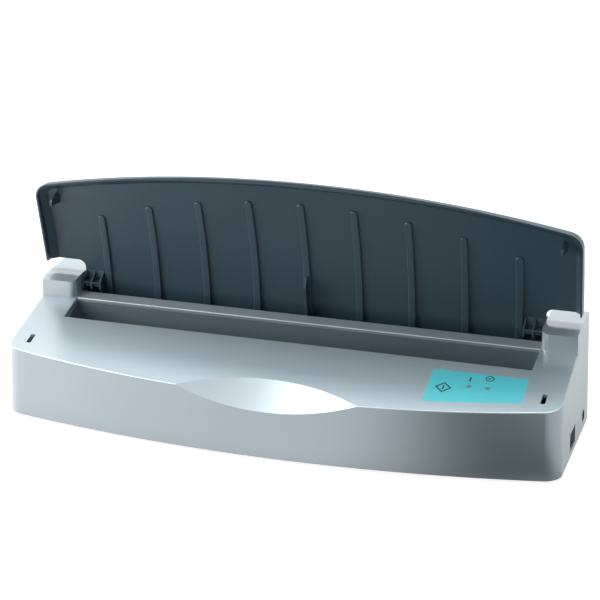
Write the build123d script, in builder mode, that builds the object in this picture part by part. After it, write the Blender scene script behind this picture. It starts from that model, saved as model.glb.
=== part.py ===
from build123d import *
from math import cos, hypot, radians, sin, sqrt, tan
import os

os.makedirs("parts", exist_ok=True)

# A desktop thermal binding machine. The long body holds a slot with a heated floor, and a
# wide lid turns on two pins that stand between the posts at the rear ends.
# X runs along the machine, Y from the front to the rear, and Z up. The origin is on the
# table under the middle of the body. Lengths are in millimetres and angles in degrees.

# ------------------------------------------------------------------ driving dimensions
# Body
body_width = 400.0  # at the bottom edge
side_depth = 108.9  # rear face to the start of the bowed front
front_bow = 21.7  # how far the front stands out at its middle
corner_radius = 13.5
draft_angle = 1.8
wall = 2.4
front_height = 49.3  # bottom edge to the top surface at the front corners
top_slope = 13.94
edge_radius = 0.8
foot_height = 2.0  # table to the body's bottom edge

# Posts that carry the lid
post_gap = 344.0  # clear width between the posts
post_depth = 44.5
post_corner_radius = 5.5
post_front_height = 78.3
post_ramp_slope = 0.27  # rise over run of the top behind its front edge
post_ramp_depth = 7.0
post_pad_depth = 14.0  # front edge to where the top runs level
post_rear_height = 80.8

# Slot in the top
slot_length = 343.0
slot_width = 23.6
slot_to_rear = 42.3  # rear edge of the slot to the rear face
slot_end_draft = 12.0
ledge_depth = 8.8  # top surface behind the slot
lip_height = 74.6  # rear wall between the posts

# Lid and its hinge
hinge_to_rear = 28.5
hinge_height = 71.6
lid_open_angle = 90.6
lid_wall = 2.4  # crown and rear edge
lid_side_wall = 1.3
lid_tail = 23.5  # hinge axis to the lid's rear edge
lid_crown = 9.2  # outer surface above the axis at the rear edge
lid_middle_thickness = 13.1
lid_front_thickness = 4.4
lid_corner_round = 3.0
lid_bevel = 4.5  # inside, between the crown and the side walls
rim_gap = 0.3  # closed lid to the top surface
side_gap = 0.5  # lid to a post's inner side
post_swing_gap = 0.3  # turning lid to a post's front top edge
swing_gap = 1.0  # lid's tail to the trough
stop_gap = 0.3
pin_radius = 2.0
pin_fit = 0.05
pin_end_gap = 0.1
pin_chamfer = 0.4
pin_seat = 12.0  # length held in a post
lug_radius = 4.2
lug_thickness = 1.2
lug_spacing = 13.3
lug_gusset = 10.0  # how far a cheek runs out along the lid from the hinge axis
lug_shelf = 1.2  # thickness of the shelf across the cheeks, in front of the pin
lug_shelf_gap = 0.4  # pin to the shelf
lug_root = 1.3
rib_count = 9
rib_spacing = 38.3
rib_width = 5.4
rib_tip_to_rear = 111.5  # rear face to the middle rib's front end
rib_tip_arc = 450.0
rib_front_rise = 1.3
rib_rear_rise = 2.4
rib_round = 1.0
fin_width = 1.8
fin_to_rear = 54.5
fin_lean = 0.3
fin_belly = 3.0  # its lowest point, in front of the slot's rear edge
fin_heel = 4.1  # hinge axis to the stop at its rear end
fin_tail = 7.5
hook_x = 185.0
hook_to_rear = 93.0
hook_length = 5.6
hook_thickness = 1.6
hook_reach = 4.0  # how far it enters the body
hook_lean = 3.0
hook_nose = 1.2
hook_slot_length = 10.0
hook_slot_width = 3.3

# Finger scoop at the front edge
scoop_length = 130.0
scoop_reach = 19.8  # back from the front edge, on the top
scoop_drop = 10.9  # down from the front edge, on the front

# Label, key and lamps
label_left_x = 105.5
label_width = 65.8
label_to_rear = 76.9
label_margin = 11.8  # label to the front edge
label_thickness = 0.3
label_corner = 2.0
key_x = 116.4
key_to_rear = 95.6
key_side = 8.2
key_gap = 0.15
key_stem = 3.0
key_travel = 0.5
lamp_x = 133.0
lamp_pitch = 13.1
lamp_to_rear = 91.6
lamp_radius = 1.75
lamp_fit = 0.1

# Bottom plate, feet and screws
plate_thickness = 2.5
plate_recess = 1.0
plate_fit = 0.3
foot_radius = 6.0
foot_chamfer = 0.5
foot_front_x = 168.0
foot_front_to_rear = 101.3
foot_rear_x = 178.0
foot_rear_to_rear = 18.3
screw_side_x = 187.0
screw_front_to_rear = 95.3
screw_middle_to_rear = 43.3
screw_rear_x = 140.0
screw_rear_to_rear = 13.3
screw_fit = 0.1
screw_radius = 1.5
screw_head_radius = 2.8
screw_head = 1.6
screw_length = 10.0
boss_radius = 3.6

# Heater under the slot
floor_height = 18.0  # slot's floor above the bottom edge
platen_thickness = 2.0
platen_pad = 1.0  # how far the platen's middle stands up in the liner
platen_pad_fit = 0.3
platen_border = 3.0  # platen beyond the slot, all round
liner_wall = 1.5
carrier_wall = 2.0
carrier_depth = 9.0
carrier_pad = 12.0
carrier_pad_border = 15.0
heater_length = 128.0
heater_width = 16.0
heater_thickness = 4.0
heater_x = 88.0
spring_length = 40.0
spring_width = 8.0
spring_strip = 0.5
heater_lead_spacing = 12.0
sensor_x = 10.0
cutout_radius = 7.0
cutout_height = 5.5
fuse_radius = 2.0
fuse_length = 12.0

# Circuit boards
board_length = 116.0
board_width = 40.0
board_x = 96.0
board_y = -28.0
board_thickness = 1.6
board_height = 11.0
board_fixing_border = 5.5
terminal_length = 10.0
terminal_border = 1.0
terminal_entry = 5.0  # height of the leads above the board
connector_x = 38.0
connector_y = 14.0
connector_width = 8.0
ribbon_plug_x = 33.0
ribbon_plug_y = 9.0
ribbon_plug_height = 7.0
ribbon_plug_length = 13.0
ribbon_plug_width = 5.0
connector_length = 16.0
connector_height = 9.0
terminal_width = 18.0
terminal_height = 10.0
transformer_x = -28.0
transformer_y = -4.0
transformer_length = 32.0
transformer_width = 27.0
transformer_height = 24.0
transformer_corner = 1.5
relay_x = 6.0
relay_y = 9.0
relay_length = 19.0
relay_side = 15.0  # its width and height
capacitor_x = 2.0
capacitor_y = -11.0
capacitor_length = 18.0
capacitor_width = 8.0
capacitor_height = 14.0
capacitor_corner = 1.0
chip_x = 21.0
chip_y = -8.0
chip_length = 15.0
chip_width = 7.0
chip_height = 3.0
buzzer_x = 38.0
buzzer_y = -12.0
buzzer_side = 10.0
buzzer_height = 8.0
buzzer_corner = 4.9
ribbon_width = 9.0
ribbon_thickness = 0.8
ribbon_bend = 3.0
ribbon_drop = 8.0
ribbon_lean = 2.0
ribbon_offset = 5.0  # towards the front from the lamps
ribbon_gap = 0.3
key_board_width = 17.0
key_board_depth = 8.0
key_board_border = 9.0  # key's centre to the board's end
key_fixing_gap = 6.2
key_fixing_border = 4.5
key_boss_radius = 2.6
button_height = 3.5
button_radius = 1.7
button_length = 2.0
button_fit = 0.05
button_gap = 0.3
switch_body_side = 6.0
key_flange = 0.8  # flange beyond the key's points
key_flange_thickness = 1.0
key_flange_gap = 0.05
lens_flange = 0.6
lens_flange_height = 1.5
lead_radius = 1.0
lead_fit = 0.3
mains_lead_radius = 2.2

# Power switch and cord gland in the right-hand side
switch_to_rear = 60.0
switch_height = 10.6
switch_length = 19.2
switch_width = 12.9
switch_depth = 17.0
switch_recess = 0.6
switch_fit = 0.15
rocker_length = 14.4
rocker_width = 8.8
rocker_height = 4.4  # pivot to the rocker's outer ends
rocker_dish = 1.2
rocker_base = 2.2
rocker_base_half = 2.5
rocker_end = 2.8
rocker_pivot_depth = 5.0
rocker_well = 10.0
rocker_swing = 8.0
rocker_gap = 0.3
axle_radius = 1.2
axle_reach = 0.9
axle_end_gap = 0.1
terminal_spacing = 9.0
terminal_blade_width = 4.8
terminal_blade = 0.8
terminal_blade_length = 6.5
gland_to_rear = 17.5
gland_height = 9.3
gland_radius = 4.4
gland_bore = 3.0
gland_length = 9.0
gland_flange = 1.2
gland_flange_gap = 0.3
gland_fit = 0.05
lead_bend_gap = 3.5  # switch's back to the leads that run past it

# ------------------------------------------------------------------ derived places
rear_y = (side_depth + front_bow) / 2
front_y = -rear_y
bow_start_y = rear_y - side_depth
slope = radians(top_slope)
draft = tan(radians(draft_angle))
bow_radius = ((body_width / 2) ** 2 + front_bow**2) / (2 * front_bow)
slot_rear_y = rear_y - slot_to_rear
slot_front_y = slot_rear_y - slot_width
slot_y = (slot_rear_y + slot_front_y) / 2
ledge_rear_y = slot_rear_y + ledge_depth
post_front_y = rear_y - post_depth
post_inner_x = post_gap / 2
hinge_y = rear_y - hinge_to_rear
hinge_z = foot_height + hinge_height
hinge_axis = Axis((0, hinge_y, hinge_z), (1, 0, 0))
post_edge_radius = hypot(hinge_y - post_front_y, foot_height + post_front_height - hinge_z)
notch_front_y = hinge_y - post_edge_radius - post_swing_gap
trough_radius = hypot(lid_tail, lid_crown) + swing_gap
plate_bottom_z = foot_height + plate_recess
plate_top_z = plate_bottom_z + plate_thickness
floor_z = foot_height + floor_height
liner_bottom_z = floor_z - platen_pad
platen_bottom_z = liner_bottom_z - platen_thickness
carrier_bottom_z = platen_bottom_z - carrier_depth
sky_z = foot_height + post_rear_height + 30
beyond = 30.0  # how far cutters run past the body


def top_z(y):
    """Height of the sloped top surface at a depth."""
    return foot_height + front_height + tan(slope) * (y - bow_start_y)


# The sloped top, with its local Y running up the slope towards the rear.
top_plane = Plane(
    origin=(0, bow_start_y, top_z(bow_start_y)), x_dir=(1, 0, 0), z_dir=(0, -sin(slope), cos(slope))
)


def on_top(x, to_rear, drop=0.0):
    """A plane lying on the top surface at a distance from the rear face, or below it by drop."""
    up_slope = (side_depth - to_rear) / cos(slope)
    place = top_plane.from_local_coords(Vector(x, up_slope, -drop))
    return Plane(origin=place, x_dir=(1, 0, 0), z_dir=top_plane.z_dir)


def bow_y(x, inset=0.0):
    """Depth of the bowed front at the bottom edge, or of a line inside it by inset."""
    return bow_start_y + bow_radius - front_bow - sqrt((bow_radius - inset) ** 2 - x**2)


# ------------------------------------------------------------------ shared solids
def footprint(inset, outline_rear_y):
    """The body's outline at its bottom edge, inset, with its straight rear at a depth."""
    half = body_width / 2
    with BuildSketch() as outline:
        with BuildLine():
            ThreePointArc((-half, bow_start_y), (0, front_y), (half, bow_start_y))
            Polyline(
                (half, bow_start_y),
                (half, outline_rear_y),
                (-half, outline_rear_y),
                (-half, bow_start_y),
            )
        make_face()
        fillet(outline.vertices().group_by(Axis.Y)[0], corner_radius)
        offset(amount=-inset, mode=Mode.REPLACE)
    return outline.sketch


def drafted_block(inset):
    """The body's outline drawn up with its draft, running on past the rear."""
    with BuildPart() as block:
        with BuildSketch(Plane.XY.offset(foot_height)):
            add(footprint(inset, rear_y + beyond))
        extrude(amount=sky_z - foot_height, taper=draft_angle)
    return block.part


def post_corners(inner_x, corner_front_y):
    """Plan of the rear corners that the posts fill, from an inner side and a front."""
    with BuildSketch() as corners:
        for side in (-1, 1):
            with Locations((side * inner_x, corner_front_y)):
                align_x = Align.MIN if side > 0 else Align.MAX
                Rectangle(body_width, 4 * rear_y, align=(align_x, Align.MIN))
        inner = [
            corners.vertices().sort_by_distance((side * inner_x, corner_front_y, 0))[0]
            for side in (-1, 1)
        ]
        fillet(inner, post_corner_radius)
    return corners.sketch


def space_above_body(inset):
    """What is cut away above the sloped top, in front of the posts and between them."""
    wall_y = ledge_rear_y - inset
    trough = trough_radius + inset
    lift = inset / cos(slope)
    start = (front_y - beyond, top_z(front_y - beyond) - lift)
    edge = (wall_y, top_z(wall_y) - lift)
    bend = (wall_y, hinge_z - sqrt(trough**2 - (wall_y - hinge_y) ** 2))
    low = (hinge_y, hinge_z - trough)
    if inset:
        # The hollow stops at the trough's floor, short of the rear wall
        end_y = rear_y - inset
        end = (end_y, hinge_z - sqrt(max(trough**2 - (end_y - hinge_y) ** 2, 0)))
        rise = [end, (rear_y + beyond, end[1])]
    else:
        end = (hinge_y + trough, hinge_z)
        lip_z = foot_height + lip_height
        rise = [end, (end[0], lip_z), (rear_y + beyond, lip_z)]
    with BuildPart() as space:
        with BuildSketch(Plane.XY.offset(foot_height)):
            Rectangle(body_width + 2 * beyond, 4 * rear_y)
            add(post_corners(post_inner_x + inset, post_front_y + inset), mode=Mode.SUBTRACT)
        extrude(amount=sky_z)
        with BuildSketch(Plane.YZ):
            with BuildLine():
                Polyline(start, edge, bend)
                ThreePointArc(bend, low, end)
                Polyline(
                    *rise,
                    (rear_y + beyond, sky_z + beyond),
                    (front_y - beyond, sky_z + beyond),
                    start,
                )
            make_face()
        extrude(amount=body_width, both=True, mode=Mode.INTERSECT)
    return space.part


def space_above_posts(inset):
    """What is cut away above the posts' tops, which rise to a level pad."""
    front_z = foot_height + post_front_height - inset
    ramp = (post_front_y + post_ramp_depth, front_z + post_ramp_slope * post_ramp_depth)
    pad = (post_front_y + post_pad_depth, foot_height + post_rear_height - inset)
    with BuildPart() as space:
        with BuildSketch(Plane.YZ):
            with BuildLine():
                Spline((post_front_y, front_z), ramp, pad, tangents=((1, post_ramp_slope), (1, 0)))
                Polyline(
                    pad,
                    (rear_y + beyond, pad[1]),
                    (rear_y + beyond, sky_z + beyond),
                    (post_front_y - beyond, sky_z + beyond),
                    (post_front_y - beyond, front_z),
                    (post_front_y, front_z),
                )
            make_face()
        extrude(amount=body_width, both=True)
    return space.part


def body_solid(inset):
    """The body's form, or the hollow inside it when inset by the wall."""
    with BuildPart() as solid:
        add(drafted_block(inset))
        add(space_above_body(inset), mode=Mode.SUBTRACT)
        add(space_above_posts(inset), mode=Mode.SUBTRACT)
        split(bisect_by=Plane.XZ.offset(-(rear_y - inset)), keep=Keep.TOP)
    return solid.part


def finish(part, name):
    """Label a finished piece and write its file."""
    part.label = name
    export_step(part, f"parts/{name}.step")
    print(name, len(part.solids()), round(part.volume))


def tube(points, radii, radius):
    """A lead as a tube along straight runs joined by tangent arcs."""
    with BuildPart() as lead:
        with BuildLine() as route:
            FilletPolyline(*points, radius=radii)
        with BuildSketch(Plane(origin=route.line @ 0, z_dir=route.line % 0)):
            Circle(radius)
        sweep(path=route.line)
    return lead.part


def mirrored_places(x, y):
    """A place and its mirror image across the machine's middle."""
    return [(x, y), (-x, y)]


# ------------------------------------------------------------------ places of fixings
screw_places = (
    mirrored_places(screw_side_x, rear_y - screw_front_to_rear)
    + mirrored_places(screw_side_x, rear_y - screw_middle_to_rear)
    + mirrored_places(screw_rear_x, rear_y - screw_rear_to_rear)
)
foot_places = mirrored_places(foot_front_x, rear_y - foot_front_to_rear) + mirrored_places(
    foot_rear_x, rear_y - foot_rear_to_rear
)
board_fixing_x = board_length / 2 - board_fixing_border
board_fixing_y = board_width / 2 - board_fixing_border
board_fixings = [
    (board_x + i * board_fixing_x, board_y + j * board_fixing_y) for i in (-1, 1) for j in (-1, 1)
]
key_board_fixings = [lamp_x - key_fixing_gap, lamp_x + lamp_pitch + key_fixing_gap]
key_board_left = key_x - key_board_border
key_board_length = key_board_fixings[1] + key_fixing_border - key_board_left

# ------------------------------------------------------------------ top housing
def edge_y(x):
    """Depth of the front edge of the top surface, set back from the bottom edge by the draft."""
    return bow_y(x) + draft * (top_z(bow_y(x)) - foot_height)


def scoop_sphere():
    """Centre and radius of the sphere through the scoop's tip, its rear and its lowest point."""
    tip = (scoop_length / 2, edge_y(scoop_length / 2), top_z(edge_y(scoop_length / 2)))
    rear = (0, edge_y(0) + scoop_reach, top_z(edge_y(0) + scoop_reach))
    low = (0, edge_y(0) - draft * scoop_drop, top_z(edge_y(0)) - scoop_drop)
    a1, b1 = 2 * (rear[1] - tip[1]), 2 * (rear[2] - tip[2])
    a2, b2 = 2 * (rear[1] - low[1]), 2 * (rear[2] - low[2])
    c1 = sum(v * v for v in rear) - sum(v * v for v in tip)
    c2 = sum(v * v for v in rear) - sum(v * v for v in low)
    y = (c1 * b2 - c2 * b1) / (a1 * b2 - a2 * b1)
    z = (a1 * c2 - a2 * c1) / (a1 * b2 - a2 * b1)
    return (0, y, z), hypot(rear[1] - y, rear[2] - z)


def label_outline():
    """The label's outline on the sloped top: straight behind, bowed like the body in front."""
    left, right = label_left_x, label_left_x + label_width
    back = (side_depth - label_to_rear) / cos(slope)
    front = [
        (x, (bow_y(x, label_margin) - bow_start_y) / cos(slope))
        for x in (left, (left + right) / 2, right)
    ]
    with BuildSketch() as outline:
        with BuildLine():
            ThreePointArc(*front)
            Polyline(front[2], (right, back), (left, back), front[0])
        make_face()
        fillet(outline.vertices(), label_corner)
    return outline.sketch


scoop_centre, scoop_radius = scoop_sphere()
side_x = body_width / 2 - draft * switch_height
switch_y = rear_y - switch_to_rear
switch_z = foot_height + switch_height
gland_y = rear_y - gland_to_rear
gland_z = foot_height + gland_height
outer_form = body_solid(0)
hollow_form = body_solid(wall)

# The hollow keeps clear of the scoop, the screw bosses and the seats of the hinge pins.
with BuildPart() as hollow:
    add(hollow_form)
    with Locations(scoop_centre):
        Sphere(scoop_radius + wall, mode=Mode.SUBTRACT)
    with BuildSketch(Plane.XY.offset(plate_top_z)):
        with Locations(screw_places):
            Circle(boss_radius)
    extrude(amount=sky_z, mode=Mode.SUBTRACT)
    for side in (-1, 1):
        with BuildSketch(Plane.YZ.offset(side * post_inner_x)):
            with Locations((hinge_y, hinge_z)):
                Circle(pin_radius + wall)
        extrude(amount=side * (pin_seat + wall), mode=Mode.SUBTRACT)
    for x in key_board_fixings:
        with BuildSketch(on_top(x, lamp_to_rear)):
            Circle(key_boss_radius)
        extrude(amount=-key_board_depth, mode=Mode.SUBTRACT)

with BuildPart() as top_housing:
    add(outer_form)
    # Slot, and its rounded rim with the front and side edges of the top
    with BuildSketch(Plane.XY.offset(floor_z)):
        with Locations((0, slot_y)):
            Rectangle(slot_length, slot_width)
    extrude(amount=sky_z, mode=Mode.SUBTRACT)
    top_face = top_housing.faces().sort_by_distance(on_top(0, side_depth).origin)[0]
    outer_edges = top_face.outer_wire().edges()
    open_edges = outer_edges.filter_by(lambda e: (e @ 0.5).Y < post_front_y - edge_radius)
    fillet(open_edges + top_face.inner_wires()[0].edges(), edge_radius)
    add(hollow.part, mode=Mode.SUBTRACT)
    with Locations(scoop_centre):
        Sphere(scoop_radius, mode=Mode.SUBTRACT)
    # Label recess, key and lamp holes
    with BuildSketch(top_plane):
        add(label_outline())
    extrude(amount=-label_thickness, mode=Mode.SUBTRACT)
    with BuildSketch(on_top(key_x, key_to_rear)):
        Rectangle(key_side + 2 * key_gap, key_side + 2 * key_gap, rotation=45)
    extrude(amount=-2 * wall, mode=Mode.SUBTRACT)
    for lamp in (0, 1):
        with BuildSketch(on_top(lamp_x + lamp * lamp_pitch, lamp_to_rear)):
            Circle(lamp_radius + lamp_fit)
        extrude(amount=-2 * wall, mode=Mode.SUBTRACT)
    # Slots for the lid's hooks
    for side in (-1, 1):
        with BuildSketch(Plane.XY.offset(top_z(bow_start_y) - 2 * wall)):
            with Locations((side * hook_x, rear_y - hook_to_rear - hook_length / 2)):
                Rectangle(hook_slot_width, hook_slot_length)
        extrude(amount=beyond, mode=Mode.SUBTRACT)
    # Openings for the power switch and the cord gland
    with BuildSketch(Plane.YZ.offset(body_width / 2 - 3 * wall)):
        with Locations((switch_y, switch_z)):
            Rectangle(switch_length, switch_width)
        with Locations((gland_y, gland_z)):
            Circle(gland_radius + gland_fit)
    extrude(amount=6 * wall, mode=Mode.SUBTRACT)
    # Seats of the hinge pins
    for side in (-1, 1):
        with BuildSketch(Plane.YZ.offset(side * post_inner_x)):
            with Locations((hinge_y, hinge_z)):
                Circle(pin_radius)
        extrude(amount=side * pin_seat, mode=Mode.SUBTRACT)
    # Screw pilots
    with BuildSketch(Plane.XY.offset(plate_top_z)):
        with Locations(screw_places):
            Circle(screw_radius)
    extrude(amount=screw_length, mode=Mode.SUBTRACT)
finish(top_housing.part, "top_housing")

# ------------------------------------------------------------------ bottom plate
plate_inset = wall + plate_fit + draft * (plate_recess + plate_thickness)
carrier_length = slot_length + 2 * platen_border
carrier_width = slot_width + 2 * platen_border
pad_x = carrier_length / 2 - carrier_pad_border

with BuildPart() as base_plate:
    with BuildSketch(Plane.XY.offset(plate_bottom_z)):
        add(footprint(plate_inset, rear_y))
    extrude(amount=plate_thickness)
    # Pads under the heater carrier and posts under the circuit board
    with BuildSketch(Plane.XY.offset(plate_top_z)):
        with Locations(*[(x, slot_y) for x in (-pad_x, -pad_x / 3, pad_x / 3, pad_x)]):
            Rectangle(carrier_pad, carrier_width)
    extrude(amount=carrier_bottom_z - plate_top_z)
    with BuildSketch(Plane.XY.offset(plate_top_z)):
        with Locations(*board_fixings):
            Circle(boss_radius)
    extrude(amount=board_height - plate_top_z)
    with BuildSketch(Plane.XY.offset(plate_top_z)):
        with Locations(*board_fixings):
            Circle(screw_radius)
    extrude(amount=board_height - plate_top_z, mode=Mode.SUBTRACT)
    # Screw holes, with counterbores for the heads underneath
    with BuildSketch(Plane.XY.offset(plate_bottom_z)):
        with Locations(*screw_places):
            Circle(screw_radius + screw_fit)
    extrude(amount=plate_thickness, mode=Mode.SUBTRACT)
    with BuildSketch(Plane.XY.offset(plate_bottom_z)):
        with Locations(*screw_places):
            Circle(screw_head_radius + screw_fit)
    extrude(amount=screw_head, mode=Mode.SUBTRACT)
finish(base_plate.part, "base_plate")

with BuildPart() as rubber_feet:
    with BuildSketch():
        with Locations(*foot_places):
            Circle(foot_radius)
    extrude(amount=plate_bottom_z)
    chamfer(rubber_feet.edges().group_by(Axis.Z)[0], foot_chamfer)
finish(rubber_feet.part, "rubber_feet")

with BuildPart() as housing_screws:
    with BuildSketch(Plane.XY.offset(plate_bottom_z)):
        with Locations(*screw_places):
            Circle(screw_head_radius)
    extrude(amount=screw_head)
    with BuildSketch(Plane.XY.offset(plate_bottom_z + screw_head)):
        with Locations(*screw_places):
            Circle(screw_radius)
    extrude(amount=screw_length)
finish(housing_screws.part, "housing_screws")

# ------------------------------------------------------------------ slot and heater
lead_z = platen_bottom_z - heater_thickness / 2
near_lead_x = board_x - connector_x + heater_lead_spacing / 2
far_lead_x = near_lead_x - heater_lead_spacing
roof_plane = top_plane.offset(-wall)
liner_top_z = top_z(slot_rear_y)
end_run = (liner_top_z - liner_bottom_z) * tan(radians(slot_end_draft))

with BuildPart() as slot_liner:
    with BuildSketch(Plane.XY.offset(liner_bottom_z)):
        with Locations((0, slot_y)):
            Rectangle(slot_length + 2 * liner_wall, slot_width + 2 * liner_wall)
    extrude(amount=liner_top_z - liner_bottom_z)
    with BuildSketch(Plane.XZ.offset(-slot_rear_y)):
        with BuildLine():
            half = slot_length / 2
            Polyline(
                (half - end_run, liner_bottom_z),
                (half, liner_top_z),
                (-half, liner_top_z),
                (end_run - half, liner_bottom_z),
                close=True,
            )
        make_face()
    extrude(amount=slot_width, mode=Mode.SUBTRACT)
    split(bisect_by=roof_plane, keep=Keep.BOTTOM)
finish(slot_liner.part, "slot_liner")

with BuildPart() as heating_platen:
    with BuildSketch(Plane.XY.offset(platen_bottom_z)):
        with Locations((0, slot_y)):
            Rectangle(carrier_length, carrier_width)
    extrude(amount=platen_thickness)
    with BuildSketch(Plane.XY.offset(liner_bottom_z)):
        with Locations((0, slot_y)):
            pad_length = slot_length - 2 * (end_run + platen_pad_fit)
            Rectangle(pad_length, slot_width - 2 * platen_pad_fit)
    extrude(amount=platen_pad)
finish(heating_platen.part, "heating_platen")

with BuildPart() as heater_carrier:
    with BuildSketch(Plane.XY.offset(carrier_bottom_z)):
        with Locations((0, slot_y)):
            Rectangle(carrier_length, carrier_width)
    extrude(amount=carrier_depth)
    with BuildSketch(Plane.XY.offset(carrier_bottom_z + carrier_wall)):
        with Locations((0, slot_y)):
            Rectangle(carrier_length - 2 * carrier_wall, carrier_width - 2 * carrier_wall)
    extrude(amount=carrier_depth, mode=Mode.SUBTRACT)
    # Holes for the heaters' leads
    with BuildSketch(Plane.XZ.offset(-slot_y)):
        with Locations((near_lead_x, lead_z), (far_lead_x, lead_z)):
            Circle(lead_radius + lead_fit)
    extrude(amount=carrier_width, mode=Mode.SUBTRACT)
finish(heater_carrier.part, "heater_carrier")

with BuildPart() as ptc_heaters:
    with BuildSketch(Plane.XY.offset(platen_bottom_z - heater_thickness)):
        with Locations((heater_x, slot_y), (-heater_x, slot_y)):
            Rectangle(heater_length, heater_width)
    extrude(amount=heater_thickness)
finish(ptc_heaters.part, "ptc_heaters")

spring_foot_z = carrier_bottom_z + carrier_wall
spring_rise = platen_bottom_z - heater_thickness - spring_foot_z - spring_strip
spring_x = heater_length / 4
with BuildPart() as heater_springs:
    for x in (heater_x - spring_x, heater_x + spring_x, spring_x - heater_x, -heater_x - spring_x):
        with BuildSketch(Plane.XZ.offset(-slot_y)):
            with BuildLine():
                left, right = x - spring_length / 2, x + spring_length / 2
                low, top = spring_foot_z, spring_foot_z + spring_rise
                ThreePointArc((left, low), (x, top), (right, low))
                Line((right, low), (right, low + spring_strip))
                ThreePointArc(
                    (right, low + spring_strip), (x, top + spring_strip), (left, low + spring_strip)
                )
                Line((left, low + spring_strip), (left, low))
            make_face()
        extrude(amount=spring_width / 2, both=True)
finish(heater_springs.part, "heater_springs")

with BuildPart() as thermostat:
    with BuildSketch(Plane.XY.offset(platen_bottom_z - cutout_height)):
        with Locations((-sensor_x, slot_y)):
            Circle(cutout_radius)
    extrude(amount=cutout_height)
finish(thermostat.part, "thermostat")

with BuildPart() as thermal_fuse:
    with BuildSketch(Plane.YZ.offset(sensor_x - fuse_length / 2)):
        with Locations((slot_y, platen_bottom_z - fuse_radius)):
            Circle(fuse_radius)
    extrude(amount=fuse_length)
finish(thermal_fuse.part, "thermal_fuse")

# ------------------------------------------------------------------ control board
board_top_z = board_height + board_thickness
with BuildPart() as control_board:
    with BuildSketch(Plane.XY.offset(board_height)):
        with Locations((board_x, board_y)):
            Rectangle(board_length, board_width)
        with Locations(*board_fixings):
            Circle(screw_radius, mode=Mode.SUBTRACT)
    extrude(amount=board_thickness)
finish(control_board.part, "control_board")

with BuildPart() as board_screws:
    with BuildSketch(Plane.XY.offset(plate_top_z)):
        with Locations(*board_fixings):
            Circle(screw_radius)
    extrude(amount=board_top_z - plate_top_z)
    with BuildSketch(Plane.XY.offset(board_top_z)):
        with Locations(*board_fixings):
            Circle(screw_head_radius)
    extrude(amount=screw_head)
finish(board_screws.part, "board_screws")


def board_block(name, place, size, corner=0.0):
    """A component standing on the control board, placed from the board's middle."""
    length, width, height = size
    with BuildPart() as block:
        with BuildSketch(Plane.XY.offset(board_top_z)):
            with Locations((board_x + place[0], board_y + place[1])):
                if corner:
                    RectangleRounded(length, width, corner)
                else:
                    Rectangle(length, width)
        extrude(amount=height)
    finish(block.part, name)


terminal_x = board_length / 2 - terminal_border - terminal_length / 2
board_block(
    "transformer",
    (transformer_x, transformer_y),
    (transformer_length, transformer_width, transformer_height),
    transformer_corner,
)
board_block("relay", (relay_x, relay_y), (relay_length, relay_side, relay_side))
board_block(
    "film_capacitor",
    (capacitor_x, capacitor_y),
    (capacitor_length, capacitor_width, capacitor_height),
    capacitor_corner,
)
board_block("control_chip", (chip_x, chip_y), (chip_length, chip_width, chip_height))
board_block(
    "buzzer", (buzzer_x, buzzer_y), (buzzer_side, buzzer_side, buzzer_height), buzzer_corner
)
board_block("terminal_block", (terminal_x, 0), (terminal_length, terminal_width, terminal_height))
board_block(
    "heater_connector",
    (-connector_x, connector_y),
    (connector_length, connector_width, connector_height),
)
board_block(
    "ribbon_connector",
    (ribbon_plug_x, ribbon_plug_y),
    (ribbon_plug_length, ribbon_plug_width, ribbon_plug_height),
)

# ------------------------------------------------------------------ label, key and lamps
with BuildPart() as control_label:
    with BuildSketch(top_plane):
        add(label_outline())
    extrude(amount=-label_thickness)
    with BuildSketch(on_top(key_x, key_to_rear)):
        Rectangle(key_side + 2 * key_gap, key_side + 2 * key_gap, rotation=45)
    extrude(amount=-2 * wall, mode=Mode.SUBTRACT)
    for lamp in (0, 1):
        with BuildSketch(on_top(lamp_x + lamp * lamp_pitch, lamp_to_rear)):
            Circle(lamp_radius + lamp_fit)
        extrude(amount=-2 * wall, mode=Mode.SUBTRACT)
finish(control_label.part, "control_label")

with BuildPart() as key_board:
    with BuildSketch(on_top(key_board_left, lamp_to_rear, key_board_depth)):
        Rectangle(key_board_length, key_board_width, align=(Align.MIN, Align.CENTER))
        with Locations(*[(x - key_board_left, 0) for x in key_board_fixings]):
            Circle(screw_radius, mode=Mode.SUBTRACT)
    extrude(amount=-board_thickness)
finish(key_board.part, "key_board")

for lamp, name in enumerate(("power_lamp", "ready_lamp")):
    with BuildPart() as lens:
        with BuildSketch(on_top(lamp_x + lamp * lamp_pitch, lamp_to_rear, key_board_depth)):
            Circle(lamp_radius)
        extrude(amount=key_board_depth - lamp_fit)
        with BuildSketch(on_top(lamp_x + lamp * lamp_pitch, lamp_to_rear, key_board_depth)):
            Circle(lamp_radius + lens_flange)
        extrude(amount=lens_flange_height)
    finish(lens.part, name)

# The key hangs under the roof by its flange and stands on the switch's button.
flange_drop = wall + key_flange_gap
key_flange_radius = key_side / sqrt(2) + key_flange
button_drop = key_board_depth - button_height
with BuildPart() as start_key:
    with BuildSketch(on_top(key_x, key_to_rear)):
        Rectangle(key_side, key_side, rotation=45)
    extrude(amount=-flange_drop - key_flange_thickness)
    with BuildSketch(on_top(key_x, key_to_rear, flange_drop)):
        Circle(key_flange_radius)
    extrude(amount=-key_flange_thickness)
    with BuildSketch(on_top(key_x, key_to_rear, flange_drop + key_flange_thickness)):
        Circle(key_stem / 2)
    extrude(amount=-(button_drop - flange_drop - key_flange_thickness))
finish(start_key.part, "start_key")

with BuildPart() as start_button:
    with BuildSketch(on_top(key_x, key_to_rear, button_drop)):
        Circle(button_radius)
    extrude(amount=-button_length)
finish(start_button.part, "start_button")

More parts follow.
